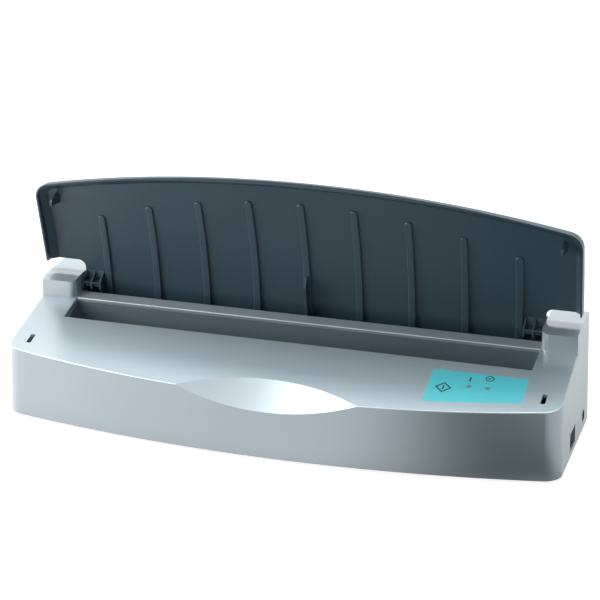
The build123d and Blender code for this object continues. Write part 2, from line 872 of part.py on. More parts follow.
with BuildPart() as start_switch:
    with BuildSketch(on_top(key_x, key_to_rear, key_board_depth)):
        Rectangle(switch_body_side, switch_body_side)
    extrude(amount=button_height - key_travel - button_gap)
    with BuildSketch(on_top(key_x, key_to_rear, button_drop)):
        Circle(button_radius + button_fit)
    extrude(amount=-button_length - key_travel - button_gap, mode=Mode.SUBTRACT)
finish(start_switch.part, "start_switch")

with BuildPart() as key_board_screws:
    for x in key_board_fixings:
        with BuildSketch(on_top(x, lamp_to_rear, key_board_depth + board_thickness)):
            Circle(screw_head_radius)
        extrude(amount=-screw_head)
        with BuildSketch(on_top(x, lamp_to_rear, key_board_depth + board_thickness)):
            Circle(screw_radius)
        extrude(amount=board_thickness)
finish(key_board_screws.part, "key_board_screws")

# ------------------------------------------------------------------ power switch
switch_face_x = side_x - switch_recess
pivot_x = switch_face_x - rocker_pivot_depth
tilt = radians(rocker_swing)
well_half = rocker_length / 2 * cos(tilt) + rocker_height * sin(tilt) + rocker_gap
axle_half = rocker_width / 2 + axle_reach
with BuildPart() as power_switch:
    with BuildSketch(Plane.YZ.offset(switch_face_x)):
        with Locations((switch_y, switch_z)):
            Rectangle(switch_length - 2 * switch_fit, switch_width - 2 * switch_fit)
    extrude(amount=-switch_depth)
    with BuildSketch(Plane.YZ.offset(switch_face_x)):
        with Locations((switch_y, switch_z)):
            Rectangle(2 * well_half, rocker_width + 2 * rocker_gap)
    extrude(amount=-rocker_well, mode=Mode.SUBTRACT)
    with BuildSketch(Plane.XY.offset(switch_z)):
        with Locations((pivot_x, switch_y)):
            Circle(axle_radius + pin_fit)
    extrude(amount=axle_half + axle_end_gap, both=True, mode=Mode.SUBTRACT)
finish(power_switch.part, "power_switch")

# The rocker is drawn level and stored tilted to its off side.
with BuildPart() as rocker_level:
    with BuildSketch(Plane.XY.offset(switch_z)):
        with BuildLine():
            end = rocker_length / 2
            Polyline(
                (pivot_x + rocker_height, switch_y - end),
                (pivot_x + rocker_height - rocker_dish, switch_y),
                (pivot_x + rocker_height, switch_y + end),
                (pivot_x + rocker_height - rocker_end, switch_y + end),
                (pivot_x - rocker_base, switch_y + rocker_base_half),
                (pivot_x - rocker_base, switch_y - rocker_base_half),
                (pivot_x + rocker_height - rocker_end, switch_y - end),
                close=True,
            )
        make_face()
    extrude(amount=rocker_width / 2, both=True)
    with BuildSketch(Plane.XY.offset(switch_z)):
        with Locations((pivot_x, switch_y)):
            Circle(axle_radius)
    extrude(amount=axle_half, both=True)
rocker_axis = Axis((pivot_x, switch_y, switch_z), (0, 0, 1))
power_rocker = rocker_level.part.rotate(rocker_axis, -rocker_swing)
finish(power_rocker, "power_rocker")

switch_back_x = switch_face_x - switch_depth
near_terminal_y = switch_y - terminal_spacing / 2
far_terminal_y = switch_y + terminal_spacing / 2
with BuildPart() as switch_terminals:
    with BuildSketch(Plane.YZ.offset(switch_back_x)):
        with Locations((near_terminal_y, switch_z), (far_terminal_y, switch_z)):
            Rectangle(terminal_blade, terminal_blade_width)
    extrude(amount=-terminal_blade_length)
finish(switch_terminals.part, "switch_terminals")

# ------------------------------------------------------------------ cord gland and leads
gland_face_x = body_width / 2 - draft * gland_height
with BuildPart() as cord_gland:
    with BuildSketch(Plane.YZ.offset(gland_face_x)):
        with Locations((gland_y, gland_z)):
            Circle(gland_radius)
    extrude(amount=-gland_length)
    with BuildSketch(Plane.YZ.offset(gland_face_x - wall - gland_flange_gap)):
        with Locations((gland_y, gland_z)):
            Circle(gland_radius + gland_flange)
    extrude(amount=-gland_flange)
    with BuildSketch(Plane.YZ.offset(gland_face_x)):
        with Locations((gland_y, gland_z)):
            Circle(gland_bore)
    extrude(amount=-gland_length, mode=Mode.SUBTRACT)
finish(cord_gland.part, "cord_gland")

lead_x = switch_back_x - lead_bend_gap
gland_back_x = gland_face_x - gland_length
block_face_x = board_x + terminal_x + terminal_length / 2
block_y = board_y + board_width * 0.15
block_z = board_top_z + terminal_entry
blade_side = terminal_blade / 2
with BuildPart() as mains_leads:
    add(
        tube(
            [
                (gland_back_x, gland_y, gland_z),
                (lead_x, gland_y, gland_z),
                (lead_x, far_terminal_y + blade_side, gland_z),
            ],
            3 * mains_lead_radius,
            mains_lead_radius,
        )
    )
    add(
        tube(
            [
                (lead_x, near_terminal_y - blade_side, switch_z),
                (lead_x, block_y, switch_z),
                ((lead_x + block_face_x) / 2, block_y, block_z),
                (block_face_x, block_y, block_z),
            ],
            2 * mains_lead_radius,
            mains_lead_radius / 2,
        )
    )
finish(mains_leads.part, "mains_leads")

plug_rear_y = board_y + connector_y + connector_width / 2
heater_front_y = slot_y - heater_width / 2
aisle_y = (heater_front_y + slot_y - carrier_width / 2 + carrier_wall) / 2
with BuildPart() as heater_leads:
    with BuildSketch(Plane.XZ.offset(-plug_rear_y)):
        with Locations((near_lead_x, lead_z)):
            Circle(lead_radius)
    extrude(amount=plug_rear_y - heater_front_y)
    add(
        tube(
            [
                (far_lead_x, plug_rear_y, lead_z),
                (far_lead_x, aisle_y, lead_z),
                (-far_lead_x, aisle_y, lead_z),
                (-far_lead_x, heater_front_y, lead_z),
            ],
            aisle_y - (slot_y - carrier_width / 2 + carrier_wall),
            lead_radius,
        )
    )
finish(heater_leads.part, "heater_leads")

ribbon_x = board_x + ribbon_plug_x
ribbon_top = on_top(
    ribbon_x, lamp_to_rear + ribbon_offset, key_board_depth + board_thickness + ribbon_gap
).origin
ribbon_y = board_y + ribbon_plug_y
ribbon_z = board_top_z + ribbon_plug_height
with BuildPart() as signal_ribbon:
    with BuildLine(Plane.YZ) as ribbon_route:
        FilletPolyline(
            (ribbon_top.Y, ribbon_top.Z),
            (ribbon_top.Y - ribbon_lean, ribbon_top.Z - ribbon_drop),
            (ribbon_y, ribbon_z + ribbon_drop),
            (ribbon_y, ribbon_z),
            radius=ribbon_bend,
        )
    with BuildSketch(Plane(origin=(0, ribbon_y, ribbon_z), x_dir=(1, 0, 0), z_dir=(0, 0, 1))):
        Rectangle(ribbon_width, ribbon_thickness)
    sweep(path=ribbon_route.line)
signal_ribbon_part = signal_ribbon.part.moved(Location((ribbon_x, 0, 0)))
finish(signal_ribbon_part, "signal_ribbon")

# ------------------------------------------------------------------ hinge pins
lug_inner_x = post_inner_x - side_gap - lug_thickness - lug_spacing
pin_end_x = lug_inner_x + lug_thickness / 2
shelf_front_y = hinge_y - pin_radius - lug_shelf_gap - lug_shelf
for side, name in ((-1, "left"), (1, "right")):
    with BuildPart() as pin:
        with BuildSketch(Plane.YZ.offset(side * pin_end_x)):
            with Locations((hinge_y, hinge_z)):
                Circle(pin_radius)
        extrude(amount=side * (post_inner_x + pin_seat - pin_end_x))
        chamfer(pin.faces().sort_by(Axis.X)[0 if side > 0 else -1].edges(), pin_chamfer)
    finish(pin.part, f"hinge_pin_{name}")

# ------------------------------------------------------------------ lid, drawn closed
lid_rear_y = hinge_y + lid_tail
crown_rear = (lid_rear_y, hinge_z + lid_crown)
crown_front = (front_y, top_z(front_y) + lid_front_thickness)
crown_middle_y = (crown_rear[0] + crown_front[0]) / 2
crown_middle = (crown_middle_y, top_z(crown_middle_y) + lid_middle_thickness)


def arc_circle(a, b, c):
    """Centre and radius of the circle through three points of a plane."""
    d = 2 * (a[0] * (b[1] - c[1]) + b[0] * (c[1] - a[1]) + c[0] * (a[1] - b[1]))
    sa, sb, sc = (p[0] ** 2 + p[1] ** 2 for p in (a, b, c))
    u = (sa * (b[1] - c[1]) + sb * (c[1] - a[1]) + sc * (a[1] - b[1])) / d
    v = (sa * (c[0] - b[0]) + sb * (a[0] - c[0]) + sc * (b[0] - a[0])) / d
    return (u, v), hypot(a[0] - u, a[1] - v)


crown_centre, crown_radius = arc_circle(crown_rear, crown_middle, crown_front)
front_overrun = 1.0  # how far the lid's section is drawn past its outline


def crown_z(y, depth=0.0):
    """Height of the lid's outer surface, or of a surface inside it by depth."""
    return crown_centre[1] + sqrt((crown_radius - depth) ** 2 - (y - crown_centre[0]) ** 2)


def lid_form(inset, side_inset):
    """The closed lid's form without its notches, or the hollow inside its walls."""
    rear = lid_rear_y - inset
    front = front_y - front_overrun
    rim_lift = rim_gap / cos(slope) if not inset else -beyond
    with BuildPart() as form:
        add(drafted_block(side_inset))
        # Between the rim's plane and the crown
        with BuildSketch(Plane.YZ):
            with BuildLine():
                low = crown_z(rear, inset)
                ThreePointArc(
                    (rear, low),
                    (crown_middle_y, crown_z(crown_middle_y, inset)),
                    (front, crown_z(front, inset)),
                )
                Polyline(
                    (front, crown_z(front, inset)),
                    (front, top_z(front) + rim_lift),
                    (rear, top_z(rear) + rim_lift),
                    (rear, low),
                )
            make_face()
        extrude(amount=body_width, both=True, mode=Mode.INTERSECT)
    return form.part


def crown_edges(form):
    """The crown's edges along the sides and the front."""
    crown = form.faces().filter_by(GeomType.CYLINDER).sort_by(SortBy.AREA)[-1]
    return crown.edges().filter_by(lambda e: (e @ 0.5).Y < post_front_y)


def rib(x):
    """A rib hanging under the crown, its tip round in plan and its lower edges rounded."""
    tip_y = rear_y - rib_tip_to_rear + x * x / (2 * rib_tip_arc)
    end_y = lid_rear_y - lid_wall / 2
    places = (tip_y, (tip_y + end_y) / 2, end_y)
    rises = (rib_front_rise, (rib_front_rise + rib_rear_rise) / 2, rib_rear_rise)
    root = [(y, crown_z(y, lid_wall / 2)) for y in places]
    face = [(y, crown_z(y, lid_wall + rise)) for y, rise in zip(places, rises)]
    with BuildPart() as form:
        with BuildSketch(Plane.YZ.offset(x - rib_width / 2)):
            with BuildLine():
                ThreePointArc(*root)
                Line(root[2], face[2])
                ThreePointArc(*reversed(face))
                Line(face[0], root[0])
            make_face()
        extrude(amount=rib_width)
        with BuildSketch(Plane.XY.offset(foot_height)):
            with Locations((x, tip_y + rib_width / 2)):
                Circle(rib_width / 2)
                Rectangle(rib_width, 4 * rear_y, align=(Align.CENTER, Align.MIN))
        extrude(amount=sky_z, mode=Mode.INTERSECT)
        lower = form.faces().sort_by_distance((x, tip_y + rib_width, foot_height))[0]
        fillet(lower.edges().filter_by(lambda e: (e @ 0.5).Y < end_y - rib_round), rib_round)
    return form.part


with BuildPart() as lid_cavity:
    add(lid_form(lid_wall, lid_side_wall))
    chamfer(crown_edges(lid_cavity.part), lid_bevel)


def fin_profile():
    """Side view of the middle fin. Its rear part stops the open lid against the ledge."""
    low_z = hinge_z - (hinge_y - ledge_rear_y) + stop_gap
    tip = (rear_y - fin_to_rear, crown_z(rear_y - fin_to_rear, lid_wall / 2))
    heel_y, end_y = hinge_y + fin_heel, hinge_y + fin_tail
    belly, slot_edge, heel = (
        (y, top_z(y) + 2 * rim_gap) for y in (slot_rear_y - fin_belly, slot_rear_y, heel_y)
    )
    with BuildSketch() as profile:
        with BuildLine():
            Spline(tip, belly, slot_edge, tangents=((fin_lean, -1), (cos(slope), sin(slope))))
            Polyline(
                slot_edge,
                heel,
                (heel_y, low_z),
                (end_y, low_z),
                (end_y, crown_z(end_y, lid_wall / 2)),
                tip,
            )
        make_face()
    return profile.sketch


def hook_profile():
    """Side view of a hook that reaches into the body's top when the lid is closed."""
    rear = rear_y - hook_to_rear
    front = rear - hook_length
    low_z = top_z(front) - hook_reach
    with BuildSketch() as profile:
        with BuildLine():
            Polyline(
                (front - hook_lean, crown_z(front - hook_lean, lid_wall / 2)),
                (front, low_z + hook_nose),
                (front + hook_nose, low_z),
                (rear - hook_lean / 2, low_z),
                (rear, crown_z(rear, lid_wall / 2)),
                close=True,
            )
        make_face()
    return profile.sketch


def cheek_profile():
    """Side view of a hinge cheek: an eye round the pin on a gusset that runs out to the crown."""
    gusset_y = hinge_y - lug_gusset
    with BuildSketch() as profile:
        with Locations((hinge_y, hinge_z)):
            Circle(lug_radius)
        with BuildLine():
            Polyline(
                (gusset_y, crown_z(gusset_y, lid_wall / 2)),
                (gusset_y, crown_z(gusset_y, lid_wall)),
                (shelf_front_y, hinge_z - lug_radius),
                (hinge_y, hinge_z - lug_radius),
                (hinge_y + lug_radius, hinge_z),
                (hinge_y + lug_radius, crown_z(hinge_y + lug_radius, lid_wall / 2)),
                close=True,
            )
        make_face()
    return profile.sketch


def root_profile():
    """Side view of the wedge that thickens the crown between the cheeks."""
    start_y, end_y = hinge_y - lug_gusset, shelf_front_y
    with BuildSketch() as profile:
        with BuildLine():
            Polyline(
                (start_y, crown_z(start_y, lid_wall / 2)),
                (start_y, crown_z(start_y, lid_wall)),
                (end_y, crown_z(end_y, lid_wall + lug_root)),
                (end_y, crown_z(end_y, lid_wall / 2)),
                close=True,
            )
        make_face()
    return profile.sketch


def shelf_profile():
    """Side view of the shelf that joins the cheeks in front of the pin."""
    rear_edge_y = shelf_front_y + lug_shelf
    with BuildSketch() as profile:
        with BuildLine():
            Polyline(
                (shelf_front_y, crown_z(shelf_front_y, lid_wall / 2)),
                (shelf_front_y, hinge_z - lug_radius),
                (rear_edge_y, hinge_z - lug_radius),
                (rear_edge_y, crown_z(rear_edge_y, lid_wall / 2)),
                close=True,
            )
        make_face()
    return profile.sketch


ribs = [rib((number - (rib_count - 1) / 2) * rib_spacing) for number in range(rib_count)]
cheek_span = lug_spacing + lug_thickness

with BuildPart() as lid_closed:
    add(lid_form(0, 0))
    fillet(crown_edges(lid_closed.part), lid_corner_round)
    add(lid_cavity.part, mode=Mode.SUBTRACT)
    add(ribs)
    # Notches round the posts
    with BuildSketch(Plane.XY.offset(foot_height)):
        add(post_corners(post_inner_x - side_gap, notch_front_y))
    extrude(amount=sky_z, mode=Mode.SUBTRACT)
    with BuildSketch(Plane.YZ.offset(-fin_width / 2)):
        add(fin_profile())
    extrude(amount=fin_width)
    for side in (-1, 1):
        with BuildSketch(Plane.YZ.offset(side * hook_x - hook_thickness / 2)):
            add(hook_profile())
        extrude(amount=hook_thickness)
        # Hinge knuckle: three cheeks, their root on the crown and the shelf across them
        for number in range(3):
            cheek_x = lug_inner_x + number * lug_spacing / 2
            with BuildSketch(Plane.YZ.offset(side * cheek_x)):
                add(cheek_profile())
            extrude(amount=side * lug_thickness)
        for profile in (root_profile(), shelf_profile()):
            with BuildSketch(Plane.YZ.offset(side * lug_inner_x)):
                add(profile)
            extrude(amount=side * cheek_span)
        # The pin's bore ends inside the inner cheek
        with BuildSketch(Plane.YZ.offset(side * (pin_end_x - pin_end_gap))):
            with Locations((hinge_y, hinge_z)):
                Circle(pin_radius + pin_fit)
        extrude(amount=side * cheek_span, mode=Mode.SUBTRACT)
lid = lid_closed.part.rotate(hinge_axis, -lid_open_angle)
finish(lid, "lid")
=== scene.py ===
# %% [markdown]
# # A thermal binding machine, dressed in Blender
# The solids come from the CAD model as a fixed frame: a long silver body with a heated slot,
# and a wide dark lid that stands open on two hinge pins. This notebook gives every piece its
# finish, adds the printed marks, and lights the machine on a plain pale floor.

# %% Load the frame
import math

import bmesh
import bpy
from mathutils import Matrix, Vector


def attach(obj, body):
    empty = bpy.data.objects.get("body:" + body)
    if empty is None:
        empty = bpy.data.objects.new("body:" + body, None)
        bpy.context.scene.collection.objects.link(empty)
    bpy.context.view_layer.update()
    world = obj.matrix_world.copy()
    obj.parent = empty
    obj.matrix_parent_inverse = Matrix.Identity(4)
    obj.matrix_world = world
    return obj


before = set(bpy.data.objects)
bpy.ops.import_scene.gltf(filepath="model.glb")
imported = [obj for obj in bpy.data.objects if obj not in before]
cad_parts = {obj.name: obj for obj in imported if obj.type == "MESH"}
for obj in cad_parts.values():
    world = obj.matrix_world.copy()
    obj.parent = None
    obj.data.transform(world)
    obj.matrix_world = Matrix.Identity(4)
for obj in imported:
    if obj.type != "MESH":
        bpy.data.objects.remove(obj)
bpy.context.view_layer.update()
MM = 0.001

# %% [markdown]
# ## Camera
# A long lens from above and from the right keeps the machine's long edges almost parallel. A
# camera is often aimed with a Track To constraint at an empty. Here its axes are written out
# as a matrix instead: right, up and backwards, so that no target object is needed and a roll
# of a tenth of a degree can be given too.

# %% Camera
TURN, TILT, ROLL = -0.3013, 0.3622, -0.0014  # radians
CAMERA_PLACE = Vector((0.39582, -1.25304, 0.59118))  # metres
LENS, SENSOR_WIDTH = 121.47, 36  # millimetres
VIEW_END = 30  # metres, past the floor's far edge

forward = Vector(
    (math.sin(TURN) * math.cos(TILT), math.cos(TURN) * math.cos(TILT), -math.sin(TILT))
)
level_right = Vector((math.cos(TURN), -math.sin(TURN), 0))
level_up = level_right.cross(forward)
right = level_right * math.cos(ROLL) + level_up * math.sin(ROLL)
up = level_up * math.cos(ROLL) - level_right * math.sin(ROLL)

camera_data = bpy.data.cameras.new("camera")
camera_data.lens = LENS
camera_data.sensor_fit = "HORIZONTAL"
camera_data.sensor_width = SENSOR_WIDTH
camera_data.clip_end = VIEW_END
camera = bpy.data.objects.new("camera", camera_data)
bpy.context.scene.collection.objects.link(camera)
axes = Matrix((right, up, -forward)).transposed().to_4x4()
camera.matrix_world = Matrix.Translation(CAMERA_PLACE) @ axes
bpy.context.scene.camera = camera
print("Camera stands", round(camera.location.length, 3), "m from the origin")

# %% [markdown]
# ## Light
# The machine is shot on white paper under large soft panels. One dome of light would do for
# matt plastic, but a satin one shows what it mirrors, so each large face has a panel of its
# own. The key stands low at the left and runs along the front, a small one near it lifts the
# left end, and another fills the finger scoop. Three hang overhead, and each shows as a broad
# soft band: one over the left end, one over the middle and one further back, for the top, the
# posts and the inside of the lid. A weak one lights the back. A panel's place is in metres, or
# it is given as a turn from straight ahead and a height in degrees, as on a lighting plan.

# %% Panel helpers
AIM = Vector((0, 0, 0.06))  # the middle of the body


def soft_panel(name, place, size, watts, colour=(1, 1, 1)):
    """An area light that stands at a place in metres and faces the machine."""
    light = bpy.data.lights.new(name, "AREA")
    light.shape = "RECTANGLE"
    light.size, light.size_y = size
    light.energy = watts
    light.color = colour
    panel = bpy.data.objects.new(name, light)
    bpy.context.scene.collection.objects.link(panel)
    panel.location = place
    panel.rotation_euler = (AIM - Vector(place)).to_track_quat("-Z", "Y").to_euler()
    print(name, watts, "W")


def around(turn, height):
    """A place one metre from the machine, turned to its left and raised, in degrees."""
    turn, height = math.radians(turn), math.radians(height)
    level = math.cos(height)
    return AIM + Vector((-math.sin(turn) * level, -math.cos(turn) * level, math.sin(height)))


# %% Panel lights
WARM, COOL, COLD = (1, 0.985, 0.965), (0.92, 0.985, 1), (0.82, 0.965, 1)

# Each has a name, a place, its width and height in metres, its watts and its colour.
soft_panel("key_panel", around(80, 10), (0.45, 0.35), 4.8, WARM)
soft_panel("near_panel", (-0.55, -0.35, 0.25), (0.3, 0.3), 1.0, WARM)
soft_panel("scoop_panel", around(60, 40), (0.25, 0.25), 0.6)
soft_panel("top_panel", (-0.66, -0.1, 1.1), (0.8, 0.5), 5.65, COOL)
soft_panel("crown_panel", (0.05, 0.2, 1.1), (1.2, 0.2), 4.85, COLD)
soft_panel("brow_panel", (0, 0.40, 1.05), (1.2, 0.15), 4.4, COOL)
soft_panel("back_panel", (-0.4, 0.9, 0.65), (0.9, 0.25), 0.8)

# %% [markdown]
# ## White surroundings
# White paper is what the camera sees around the machine, and also what its satin surfaces
# mirror. A brighter world would give that white, but it would light the machine flatly too. So
# the camera's rays and the glossy and clear ones all find a strength of 1, while the light that
# falls on the machine still comes from the panels and a weak, cool fill.

# %% Node helpers
def feed(tree, socket, value):
    """Link another node's output to a socket, or set the socket to a plain value."""
    if hasattr(value, "links"):
        tree.links.new(value, socket)
    else:
        socket.default_value = value


def math_node(tree, operation, a, b=0.0, clamp=False):
    """A Math node fed by sockets or plain numbers; returns its output."""
    node = tree.nodes.new("ShaderNodeMath")
    node.operation = operation
    node.use_clamp = clamp
    feed(tree, node.inputs[0], a)
    feed(tree, node.inputs[1], b)
    return node.outputs[0]


def mix_shaders(tree, factor, first, second):
    """A Mix Shader node fed by sockets; returns its output."""
    node = tree.nodes.new("ShaderNodeMixShader")
    for index, value in enumerate((factor, first, second)):
        feed(tree, node.inputs[index], value)
    return node.outputs[0]


def to_output(tree, shader, kind="ShaderNodeOutputMaterial"):
    """End a tree in an output node that shows a shader."""
    feed(tree, tree.nodes.new(kind).inputs["Surface"], shader)


# %% Rays that see the paper
def sees_paper(tree):
    """1 for the camera's, glossy and transmission rays, and 0 for the rest."""
    path = tree.nodes.new("ShaderNodeLightPath").outputs
    either = math_node(tree, "MAXIMUM", path["Is Camera Ray"], path["Is Glossy Ray"])
    return math_node(tree, "MAXIMUM", either, path["Is Transmission Ray"])


def background(tree, colour, strength):
    """A Background shader of a plain colour; returns its output."""
    node = tree.nodes.new("ShaderNodeBackground")
    node.inputs["Color"].default_value = colour
    node.inputs["Strength"].default_value = strength
    return node.outputs[0]


# %% World
FILL_COLOUR, FILL_STRENGTH = (0.55, 0.83, 1.0, 1), 0.18
PAPER_COLOUR, PAPER_STRENGTH = (1, 1, 1, 1), 1.0

world = bpy.data.worlds.new("studio")
bpy.context.scene.world = world
world.use_nodes = True
tree = world.node_tree
tree.nodes.clear()
fill = background(tree, FILL_COLOUR, FILL_STRENGTH)
paper = background(tree, PAPER_COLOUR, PAPER_STRENGTH)
to_output(tree, mix_shaders(tree, sees_paper(tree), fill, paper), "ShaderNodeOutputWorld")
bpy.context.scene.view_settings.view_transform = "Standard"
print("World: fill", FILL_STRENGTH, "and paper", PAPER_STRENGTH)

# %% [markdown]
# ## Floor
# The floor is a large pale sheet. It takes the machine's own soft shadow, as a matt grey under
# the panels, and an even lift brings the rest of it to white. The lift is an Emission that only
# the camera, gloss and glass see, so it puts no light on the machine, as a brighter floor would.
# It is a little lower near the machine, so that the shadow shows there, and full further off.

# %% Stage helpers
def piece_from(form, name, material):
    """An object at the origin with one material, from a finished bmesh."""
    mesh = bpy.data.meshes.new(name)
    form.to_mesh(mesh)
    form.free()
    piece = bpy.data.objects.new(name, mesh)
    bpy.context.scene.collection.objects.link(piece)
    piece.data.materials.append(material)
    return piece


def stage_sheet(name, size_x, size_y, place, material):
    """A flat sheet that belongs to the studio and not to the machine."""
    sheet = bmesh.new()
    bmesh.ops.create_grid(sheet, x_segments=1, y_segments=1, size=0.5)
    bmesh.ops.scale(sheet, vec=(size_x, size_y, 1), verts=sheet.verts)
    bmesh.ops.translate(sheet, vec=place, verts=sheet.verts)
    piece = piece_from(sheet, name, material)
    print(name, "is a sheet of", size_x, "by", size_y, "m")
    return piece


# %% Helpers for the stage's materials
def bare_material(name):
    """A material with no nodes in it yet, and its tree."""
    material = bpy.data.materials.new(name)
    material.use_nodes = True
    material.node_tree.nodes.clear()
    return material, material.node_tree


def matt(tree, grey):
    """A Diffuse shader of a plain grey; returns its output."""
    node = tree.nodes.new("ShaderNodeBsdfDiffuse")
    node.inputs["Color"].default_value = (grey, grey, grey, 1)
    return node.outputs[0]


def object_coords(tree):
    """Coordinates that stay with a piece; on the stage they are metres from the middle."""
    return tree.nodes.new("ShaderNodeTexCoord").outputs["Object"]


def smooth_ramp(tree, value, start, end, low=0.0, high=1.0):
    """A value that eases from low to high as another goes from start to end."""
    node = tree.nodes.new("ShaderNodeMapRange")
    node.interpolation_type = "SMOOTHSTEP"
    feed(tree, node.inputs["Value"], value)
    for label, number in (
        ("From Min", start), ("From Max", end), ("To Min", low), ("To Max", high)
    ):
        node.inputs[label].default_value = number
    return node.outputs["Result"]


# %% Floor
FLOOR_SIDE = 12  # metres
FLOOR_GREY = 0.30
NEAR_LIFT, FULL_LIFT = 0.90, 1.0
LIFT_FROM, LIFT_TO = 0.25, 0.55  # metres from the machine's middle

paper_white, tree = bare_material("paper_white")
reach = tree.nodes.new("ShaderNodeVectorMath")
reach.operation = "LENGTH"
feed(tree, reach.inputs[0], object_coords(tree))
away = smooth_ramp(tree, reach.outputs["Value"], LIFT_FROM, LIFT_TO, NEAR_LIFT, FULL_LIFT)
lift = tree.nodes.new("ShaderNodeEmission")
feed(tree, lift.inputs["Strength"], math_node(tree, "MULTIPLY", sees_paper(tree), away))
both = tree.nodes.new("ShaderNodeAddShader")
feed(tree, both.inputs[0], matt(tree, FLOOR_GREY))
feed(tree, both.inputs[1], lift.outputs[0])
to_output(tree, both.outputs[0])
stage_sheet("floor", FLOOR_SIDE, FLOOR_SIDE, (0, 0, 0), paper_white)

# %% [markdown]
# ## Graded flag
# A satin front mirrors the paper in front of it from end to end, which looks flat. In a studio
# a black flag lies on the table beyond the frame, so that the far end of the front falls away
# into shade. Here only reflections see the flag, so it can lie before the camera. It is clear
# at the left and grows to black towards the right, so that the shade comes on gently. Past the
# machine's corner, and beside the machine, it is thin again and tones the right-hand side down
# a little. A darker floor would do that too, but the camera would see it.

# %% Flag
FLAG_X, FLAG_Y, FLAG_PLACE = 0.9, 1.2, (0.46, -0.20, 0.001)  # metres
FLAG_GREY = 0.02
CLEAR_X, BLACK_X = 0.03, 0.17
CORNER_X, BEYOND_X, BEYOND_SHARE = 0.195, 0.27, 0.15
FRONT_Y, BESIDE_Y, BESIDE_SHARE = -0.07, -0.02, 0.25

flag_net, tree = bare_material("flag_net")
along = tree.nodes.new("ShaderNodeSeparateXYZ")
feed(tree, along.inputs[0], object_coords(tree))
density = smooth_ramp(tree, along.outputs["X"], CLEAR_X, BLACK_X)
past_end = smooth_ramp(tree, along.outputs["X"], CORNER_X, BEYOND_X, 1.0, BEYOND_SHARE)
beside = smooth_ramp(tree, along.outputs["Y"], FRONT_Y, BESIDE_Y, 1.0, BESIDE_SHARE)
density = math_node(tree, "MULTIPLY", density, past_end)
density = math_node(tree, "MULTIPLY", density, beside)
clear = tree.nodes.new("ShaderNodeBsdfTransparent").outputs[0]
to_output(tree, mix_shaders(tree, density, clear, matt(tree, FLAG_GREY)))
flag = stage_sheet("flag", FLAG_X, FLAG_Y, FLAG_PLACE, flag_net)
flag.visible_camera = flag.visible_diffuse = flag.visible_shadow = False

# %% [markdown]
# ## Shared effects
# Moulded plastic is never quite even. Three small node groups do most of the work here: a fine
# grain, a slow mottle, and a mask along worn edges. They could be laid into every material by
# hand, but as groups each is built once, and every material places it with its own numbers.

# %% Node group helpers
def new_group(name, inputs, outputs):
    """A shader node group with named number inputs and named outputs."""
    group = bpy.data.node_groups.new(name, "ShaderNodeTree")
    for label, value in inputs:
        socket = group.interface.new_socket(label, in_out="INPUT", socket_type="NodeSocketFloat")
        socket.default_value = value
    for label in outputs:
        group.interface.new_socket(label, in_out="OUTPUT", socket_type="NodeSocketFloat")
    print("Group", name, "puts out", ", ".join(outputs))
    return group, group.nodes.new("NodeGroupInput"), group.nodes.new("NodeGroupOutput")


def pattern(tree, kind, scale):
    """A texture node on Object coordinates, with a scale in turns per metre."""
    texture = tree.nodes.new(kind)
    feed(tree, texture.inputs["Vector"], object_coords(tree))
    feed(tree, texture.inputs["Scale"], scale)
    return texture


# %% Grain: the spark-eroded texture of a moulding tool
FLECKS_TO_GRAIN = 2.6  # how much finer the flecks are than the grain
FLECK_REACH = 0.9  # of a cell, from its middle

grain, gin, gout = new_group(
    "moulded_grain", [("Scale", 900.0), ("Detail", 3.0)], ["Height", "Fleck"]
)
noise = pattern(grain, "ShaderNodeTexNoise", gin.outputs["Scale"])
feed(grain, noise.inputs["Detail"], gin.outputs["Detail"])
feed(grain, gout.inputs["Height"], noise.outputs["Fac"])
finer = math_node(grain, "MULTIPLY", gin.outputs["Scale"], FLECKS_TO_GRAIN)
cells = pattern(grain, "ShaderNodeTexVoronoi", finer)
fleck = math_node(grain, "SUBTRACT", FLECK_REACH, cells.outputs["Distance"])
feed(grain, gout.inputs["Fleck"], fleck)

# %% Mottle: slow uneven tone, as from flow marks, handling and dust
MOTTLE_DETAIL = 5.0
MIDDLE = 0.5  # what the mottle swings about

mottle, gin, gout = new_group("slow_mottle", [("Scale", 14.0), ("Contrast", 1.0)], ["Mask"])
noise = pattern(mottle, "ShaderNodeTexNoise", gin.outputs["Scale"])
noise.inputs["Detail"].default_value = MOTTLE_DETAIL
centred = math_node(mottle, "SUBTRACT", noise.outputs["Fac"], MIDDLE)
spread = math_node(mottle, "MULTIPLY", centred, gin.outputs["Contrast"])
feed(mottle, gout.inputs["Mask"], math_node(mottle, "ADD", spread, MIDDLE, clamp=True))

# %% Edge mask: where the rounded normal leaves the true one, broken up by noise
EDGE_SAMPLES = 4
EDGE_GAIN = 5.0

edges, gin, gout = new_group("edge_mask", [("Radius", 0.0006), ("Breakup", 60.0)], ["Mask"])
rounded = edges.nodes.new("ShaderNodeBevel")
rounded.samples = EDGE_SAMPLES
feed(edges, rounded.inputs["Radius"], gin.outputs["Radius"])
agree = edges.nodes.new("ShaderNodeVectorMath")
agree.operation = "DOT_PRODUCT"
feed(edges, agree.inputs[0], rounded.outputs[0])
feed(edges, agree.inputs[1], edges.nodes.new("ShaderNodeNewGeometry").outputs["Normal"])
turned = math_node(edges, "SUBTRACT", 1.0, agree.outputs["Value"])
strong = math_node(edges, "MULTIPLY", turned, EDGE_GAIN, clamp=True)
patches = pattern(edges, "ShaderNodeTexNoise", gin.outputs["Breakup"])
worn_mask = math_node(edges, "MULTIPLY", strong, patches.outputs["Fac"])
feed(edges, gout.inputs["Mask"], worn_mask)

